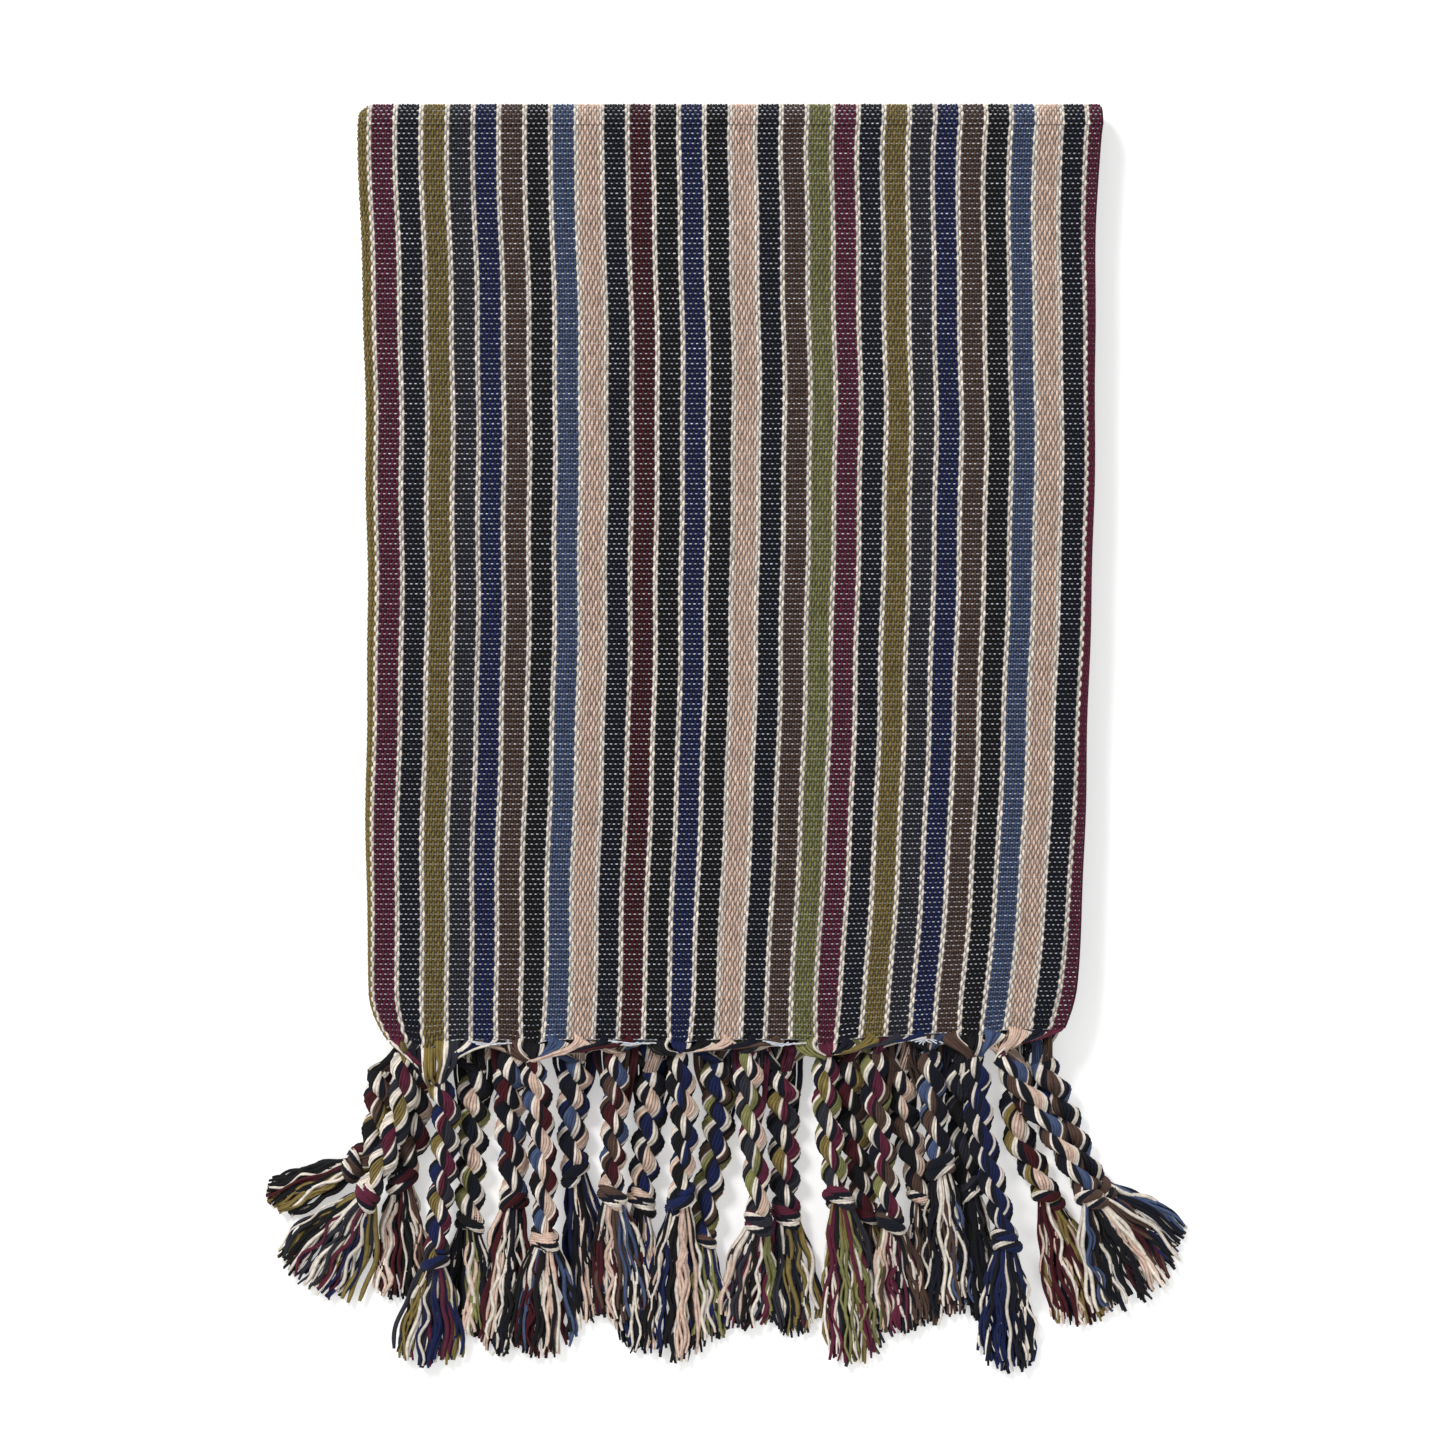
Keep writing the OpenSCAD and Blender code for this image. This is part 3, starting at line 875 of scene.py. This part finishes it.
def gathered(spool, k, line, side, starts, local):
    """The yarns of cord k from the last weft to the start of its rope."""
    layer, palette = CORDS[k][4], CORDS[k][6]
    if layer == 1:
        slot = TOP_CORDS.index(k)
        edge, out, colours = top_edge(TAKEN[slot], TAKEN[slot + 1])
        own = len(colours)
        if own < TOP_YARNS:
            more, more_out = under_edge(k, TOP_YARNS - own)
            edge, out = np.vstack([edge, more]), np.vstack([out, more_out])
            colours = colours + in_bands(palette, TOP_YARNS - own, 1)
    else:
        edge, out = under_edge(k, LOWER_YARNS)
        colours = in_bands(palette, LOWER_YARNS, 2)
    count = len(colours)
    across = (np.arange(count) / count - 0.5)[:, None]
    targets = line[0] + side[0] * across * 5 - [0, 0, 1.5]
    chosen = np.linspace(0, count - 1, len(starts)).round().astype(int)
    for i, c in enumerate(chosen):
        targets[c] = starts[i]
    t = np.linspace(0, 1, 13)[None, :, None]
    gap = targets - edge
    lateral = gap[:, :1] * [1.0, 0.0, 0.0]
    near = 1 - np.abs(gap[:, :1]) / max(np.abs(gap[:, 0]).max(), 1)
    below = 3.6 + 3.0 * near if layer == 1 else 0.5 * START_BELOW[layer] + 0 * near
    stay = np.full_like(near, 0.1 if layer == 1 else 0.3)
    if k == OPEN_CORD:
        below = np.where(gap[:, :1] > 0, 9.0, below)
        stay = np.where(near > 0.72, 0.8, 0.1)
    straight = stay > 0.5
    p0, p3 = edge[:, None], targets[:, None]
    p1 = (edge + out * (below + 8 * straight) + lateral * 0.06 * ~straight)[:, None]
    p2 = targets - lateral * stay + UP
    p2[:, 1] = np.maximum(edge[:, 1] - 1.3 * below[:, 0] - 2.0, targets[:, 1] + 1.5)
    p2 = p2[:, None]
    bundle = p0 * (1 - t) ** 3 + 3 * p1 * t * (1 - t) ** 2 + 3 * p2 * t**2 * (1 - t) + p3 * t**3
    t = t[..., 0]
    swell = 2.4 * np.abs(np.sin(math.pi * np.arange(count) / BUNDLE))[:, None]
    lift = 0.4 + 0.8 * swell + 0.6 * local.random((count, 1)) + 1.6 * near + 2.0 * straight
    bundle[..., 2] += np.sin(math.pi * t) * lift
    if layer == 1:
        bundle = rounded(bundle, own, k == OPEN_CORD)
    loose = smooth(np.sin(math.pi * t) * 2)
    group = np.arange(count) // CLUMP
    ripple = np.sin(2 * math.pi * (t * np.abs(gap[:, :1]) / 13 + local.random((count, 1))[group]))
    bundle[..., 1] += 0.3 * ripple * loose
    bundle[..., 2] += 0.4 * np.cos(5 * t + 6 * local.random((count, 1))[group]) * loose
    radius = YARN_R * (0.9 + 0.1 * local.random((count, 1))) * (1 - 0.22 * smooth(t * 1.5))
    radius = radius * (1 + 0.45 * straight)
    bundle[..., 2] += 0.5 * local.standard_normal((count, 1)) * loose
    # painted shadow on the yarns of the lower layers
    tone = (1 if layer == 1 else LOWER_SHADOW) + 0.07 * local.standard_normal((count, 1))
    spool.yarns(bundle, UP, radius, colours, tone)


def rounded(bundle, number, spread_out):
    """The yarns of each stripe drawn together into a round bundle, half way to the rope."""
    n = bundle.shape[1]
    t = np.linspace(0, 1, n)
    waist = smooth(t / 0.7) * smooth((1 - t) / 0.4)
    for first in range(0, number - BUNDLE // 2, BUNDLE):
        group = bundle[first : min(first + BUNDLE, number)].copy()
        middle = group.mean(0)
        tangent = unit(np.gradient(middle, axis=0))
        across = unit(np.cross(tangent, UP))
        place = np.linspace(-1, 1, len(group))[:, None]
        offset = np.sum((group - middle) * across, -1)
        widest = np.abs(offset).max(0)[None] + 1e-6
        hand = 1 if (first // BUNDLE) % 2 else -1
        angle = place * 1.5 + hand * 0.9 * t[None]
        half = np.minimum(widest, 4.6 if spread_out else 3.6)
        ring_x = half * np.sin(angle)
        ring_z = 1.9 * np.cos(angle) + 0.6
        far = smooth((abs(middle[-1, 0] - middle[0, 0]) - 4) / 16)
        share = waist[None] * far
        side = offset * (1 - share) + ring_x * share * np.sign(offset[-1, n // 3] + 1e-9)
        moved = middle[None] + across[None] * side[..., None]
        moved[..., 2] = group[..., 2] * (1 - share) + (middle[:, 2][None] + ring_z) * share
        bundle[first : first + len(group)] = moved
    return bundle


def strays(spool, line, side, palette, local):
    """Dark yarns of a lower layer, darkened further with painted shade, that hang beside its cord and join
    it half way down.
    """
    t = np.linspace(0, 1, len(line))[None, :]
    dark = [name for name in palette.split() if name not in PALE] + ["black", "midnight"]
    colours = [dark[i // 3 % len(dark)] for i in range(STRAYS)]
    offset = np.linspace(-STRAY_HALF, STRAY_HALF, STRAYS)[:, None]
    offset = offset + 0.6 * local.standard_normal((STRAYS, 1))
    join = local.uniform(0.35, 0.7, (STRAYS, 1))
    ripple = np.sin(2 * math.pi * (2.5 * t + local.random((STRAYS, 1))))
    away = offset * (1 - 0.75 * smooth(t / join)) * (1 - smooth((t - 0.7) / 0.3))
    away = away + 0.8 * ripple * np.sin(math.pi * t)
    path = line[None] + side[None] * away[..., None]
    sunk = 4.5 - local.standard_normal((STRAYS, 1))
    path[..., 2] = np.clip(path[..., 2] - sunk * (0.35 + 0.65 * smooth(t / 0.3)), 1.2, 30)
    x, y = settle(path[:, 0, 0], HEAD + 1 + 0 * path[:, 0, 0], EDGE_SHARE)
    roots = np.stack([x, y, np.maximum(path[:, 0, 2], AXIS_Z + 2)], -1)[:, None]
    path = np.concatenate([roots, roots * 0.5 + path[:, :1] * 0.5, path], 1)
    spool.yarns(path, UP, STRAY_R, colours, STRAY_SHADE)


def knot(spool, at, ahead, palette, local):
    """The cord's own end wound slantwise round it."""
    across = unit(np.cross(ahead, UP))
    above = np.cross(across, ahead)
    turns = local.uniform(1.9, 2.3)
    t = np.linspace(0, turns, 44)
    a = 2 * math.pi * t + local.uniform(0, 6.28)
    hand = local.choice([-1.0, 1.0])
    grip = smooth(t / 0.3) * smooth((turns - t) / 0.3)
    reach = ((1.2 + 3.5 * grip) * (1 + 0.12 * np.sin(1.7 * a)))[:, None]
    lean = 2.8 * np.cos(a + local.uniform(-0.6, 0.6)) * local.choice([-1.0, 1.0])
    rise = -KNOT_HALF + 2 * KNOT_HALF * t / turns + lean
    centre = at + (across * np.cos(a)[:, None] * hand + above * np.sin(a)[:, None]) * reach
    centre = centre + ahead * rise[:, None]
    forward = unit(np.gradient(centre, axis=0))
    out = unit(centre - at - ahead * np.sum((centre - at) * ahead, -1, keepdims=True))
    other = unit(np.cross(forward, out))
    colours = ply_colours(palette, int(local.integers(0, 2)))[:KNOT_YARNS]
    yarns, ups = [], []
    for i in range(KNOT_YARNS):
        spin = 2 * math.pi * (i - 2) / KNOT_YARNS + 1.2 * a + 1.57
        away = other * np.cos(spin)[:, None] + out * np.sin(spin)[:, None]
        yarns.append(centre + away * (1.0 + 1.4 * grip)[:, None])
        ups.append(away)
    yarns = np.array(yarns)
    yarns[..., 2] = np.maximum(yarns[..., 2], YARN_R)
    tone = 1 + 0.08 * local.standard_normal((KNOT_YARNS, 1))
    spool.yarns(yarns, np.array(ups), YARN_R, colours, tone)
    # the knot's core, darkened as painted shade
    spool.yarns(centre[None], out[None], KNOT_CORE, colours[:1], CORE_SHADE)
    places = np.linspace(-0.97, 0.97, 7)
    heart = at + ahead * HEART_L * places[:, None]
    girth = HEART_R * np.sqrt(1 - places**2)[None, :]
    # painted shade: what the knot is tied round is darkened to half
    spool.lay(heart[None], UP, girth, girth * 0.8, ROUND, True, colours[-3:-2], 0.5)


def tassel(spool, k, at, tip, palette, local):
    """Loose yarns of cord k below its knot, fanned out and cut to about one length."""
    level, fan = CORDS[k][0], CORDS[k][5]
    count, under = TASSEL_YARNS, TASSEL_UNDER
    clump = np.arange(count) // CLUMP
    flat = np.array([tip[0] - at[0], tip[1] - at[1], 0.0])
    length = np.linalg.norm(flat)
    ahead = flat / length
    across = np.array([ahead[1], -ahead[0], 0.0])
    names = palette.split() + ["black"]
    main = local.permutation(np.arange(count // CLUMP + 1)) % len(names)
    colours = [names[main[c]] if i % CLUMP else "cream" for i, c in enumerate(clump)]
    dark = [name for name in names if name not in PALE]
    colours[:under] = [dark[i // 3 % len(dark)] for i in range(under)]
    lies_under = (np.arange(count) < under)[:, None]
    nearby = 0.12 * local.standard_normal(count) + 0.2 * local.standard_normal(count)[clump]
    spread = np.concatenate([np.linspace(-0.9, 0.9, under), np.linspace(-1, 1, count - under)])
    spread = np.clip(spread + nearby, -1.25, 1.25)
    local.shuffle(spread[under::CLUMP])
    t = np.linspace(0, 1, TASSEL_STATIONS)[None, :]
    reach = length * (0.9 + 0.12 * local.random((count, 1)) - 0.1 * spread[:, None] ** 2)
    opened = 1 - (1 - t) ** 1.8
    sideways = spread[:, None] * (TASSEL_NECK + (0.92 * fan - TASSEL_NECK) * opened)
    size = local.uniform(0.5, 2.0, (count, 1))[clump] * local.uniform(0.7, 1.3, (count, 1))
    pace = local.uniform(18, 36, (count, 1))[clump] * local.uniform(0.9, 1.1, (count, 1))
    begin = local.random((count, 1))[clump] + 0.08 * local.standard_normal((count, 1))
    wave = size * np.sin(2 * math.pi * (t * reach / pace + begin))
    sideways = sideways + wave * smooth(t * 2.5)
    end_z = local.uniform(1.0, 5.5, (count, 1)) + (2.0 if level else 0.0)
    start_z = at[2] + local.uniform(-2.5, 2.5, (count, 1))
    height = start_z + (end_z - start_z) * smooth(t / 0.75)
    height = height + 0.7 * np.sin(t * 9 + local.random((count, 1)) * 6) * t
    height = height + np.where(lies_under, -2.0, 1.6 * (1 - spread[:, None] ** 2)) * (1 - 0.6 * t)
    height = np.maximum(height, 0.9)
    path = at * [1, 1, 0] + ahead * (t * reach)[..., None] + across * sideways[..., None]
    path = path + UP * height[..., None]
    uneven = 1 + 0.16 * local.standard_normal((count, 1))
    radius = np.where(lies_under, 1.15, 0.9) * uneven * (1 - 0.35 * smooth((t - 0.9) / 0.1))
    tone = 1 + 0.08 * local.standard_normal((count, 1))
    spool.yarns(path, UP, radius, colours, tone)


# ---- The object --------------------------------------------------------------

# The last pick has come loose here: left end, width and sag
LOOSE_PICKS = [(-127, 22, 0.8), (-57, 24, 0.5), (20, 22, 0.9), (94, 16, -1.5)]
LOOSE_THREADS = 4
LOOSE_R = 0.36
SEAM = 0.25  # the faces stop this far from the folds
TURN_ROWS = 11  # rings of the body along a tight turn


def loose_picks(spool):
    """Threads of the last pick that lie free along the edge, nearly side by side."""
    t = np.linspace(0, 1, 16)
    for start, width, sag in LOOSE_PICKS:
        for i in range(LOOSE_THREADS):
            x = np.linspace(start + 2 * i, start + width - 3 * i, len(t))
            slope = 0.8 * (i - 1.5) * t
            y = HEAD - 0.6 - 0.7 * i - sag * np.sin(math.pi * t) + 0.2 * np.sin(9 * t + 2 * i) + slope
            z = STACK + 0.9 + 0.5 * np.sin(7 * t + i)
            path = np.stack([x, y, z], -1)[None]
            spool.yarns(path, UP, LOOSE_R, ["weft"], 1.1)


def cloth_face():
    """The top layer, in pieces of one colour."""
    run = RUNS["top"]
    end = run.length - SEAM
    for colour in dict.fromkeys(ORDER):
        spool = Spool()
        warp(spool, run, face_ends(colour), 0, end)
        nodes = ["upper_" + colour]
        if colour == "olive":
            warp(spool, run, side_ends(), 0, end)
            nodes.append("upper_side_folds")
        spool.piece("upper_face_" + colour, "warp_" + colour, "upper_leaf", nodes)
    for part, low, high in (("left", 0, FOLD_W / 2), ("right", FOLD_W / 2, FOLD_W)):
        spool = Spool()
        warp(spool, run, [e for e in face_ends("cream") if low <= e[0] < high], 0, end)
        nodes = ["upper_cream"] if part == "left" else []
        spool.piece("upper_face_cream_" + part, "warp_cream", "upper_leaf", nodes)
    spool = Spool()
    weft(spool, run, 3)
    loose_picks(spool)
    spool.piece("upper_face_weft", "weft", "upper_leaf", ["upper_weft"])


def quarters(name, run, body, nodes=()):
    """A face layer that only shows once the runner is opened or turned over, in four pieces."""
    middle = run.length / 2
    for i, (low, high) in enumerate(((0, FOLD_W / 2), (FOLD_W / 2, FOLD_W))):
        for j, (s0, s1) in enumerate(((SEAM, middle), (middle, run.length - SEAM))):
            spool = Spool()
            warp(spool, run, face_ends(None, low, high), s0, s1, 2, 2)
            if i == 0:
                warp(spool, run, side_ends(), s0, s1, 2, 2)
                weft(spool, run, 2, s0 + WEFT_INSET, s1 - WEFT_INSET)
            spool.piece(f"{name}_{2 * i + j + 1}", "cord_yarn", body, nodes if i + j == 0 else ())


def grounds():
    """The body of the cloth in each leaf, as one sheet a leaf."""
    for name, runs, body in (
        ("upper_cloth", ("top", "upper"), "upper_leaf"),
        ("lower_cloth", ("floor", "lower"), "lower_leaf"),
    ):
        spool = Spool()
        for run in runs:
            ground(spool, RUNS[run], 90, SEAM)
        sheet = spool.piece(name, "weft", body)


def blended(spool, name, slot, nodes=()):
    """A piece that rides on no body, with its place baked into its mesh."""
    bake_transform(spool.piece(name, slot, None, nodes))


def folds():
    """The round fold, in pieces that ride on no body, and the turn at the front of the lower leaf, which
    rides on it.
    """
    run = RUNS["round"]
    spool = Spool()
    warp(spool, run, face_ends() + side_ends(), 0, run.length)
    weft(spool, run, 3)
    blended(spool, "round_fold_yarns", "warp_midnight", ["top_fold_outer"])
    spool = Spool()
    ground(spool, run, 15)
    blended(spool, "round_fold_outer_cloth", "weft")
    spool = Spool()
    ground(spool, RUNS["hinge"], TURN_ROWS)
    blended(spool, "round_fold_inner_cloth", "weft", ["top_fold_inner"])
    run = RUNS["front"]
    spool = Spool()
    warp(spool, run, face_ends() + side_ends(), 0, run.length, 3, 2)
    weft(spool, run, 2)
    spool.piece("front_turn_yarns", "warp_navy", "lower_leaf", ["end_fold"])
    spool = Spool()
    ground(spool, run, TURN_ROWS)
    spool.piece("front_turn_cloth", "weft", "lower_leaf")


make_camera()
make_stage()
make_light()
for k in range(len(CORDS)):
    cord(k)
cloth_face()
grounds()
folds()
lower_nodes = ["lower_" + c for c in dict.fromkeys(ORDER)]
quarters("lower_face", RUNS["lower"], "lower_leaf", lower_nodes)
quarters("upper_inside", RUNS["upper"], "upper_leaf")
quarters("under_face", RUNS["floor"], "lower_leaf", ["lower_cream", "lower_weft", "lower_side_folds"])

low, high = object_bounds()
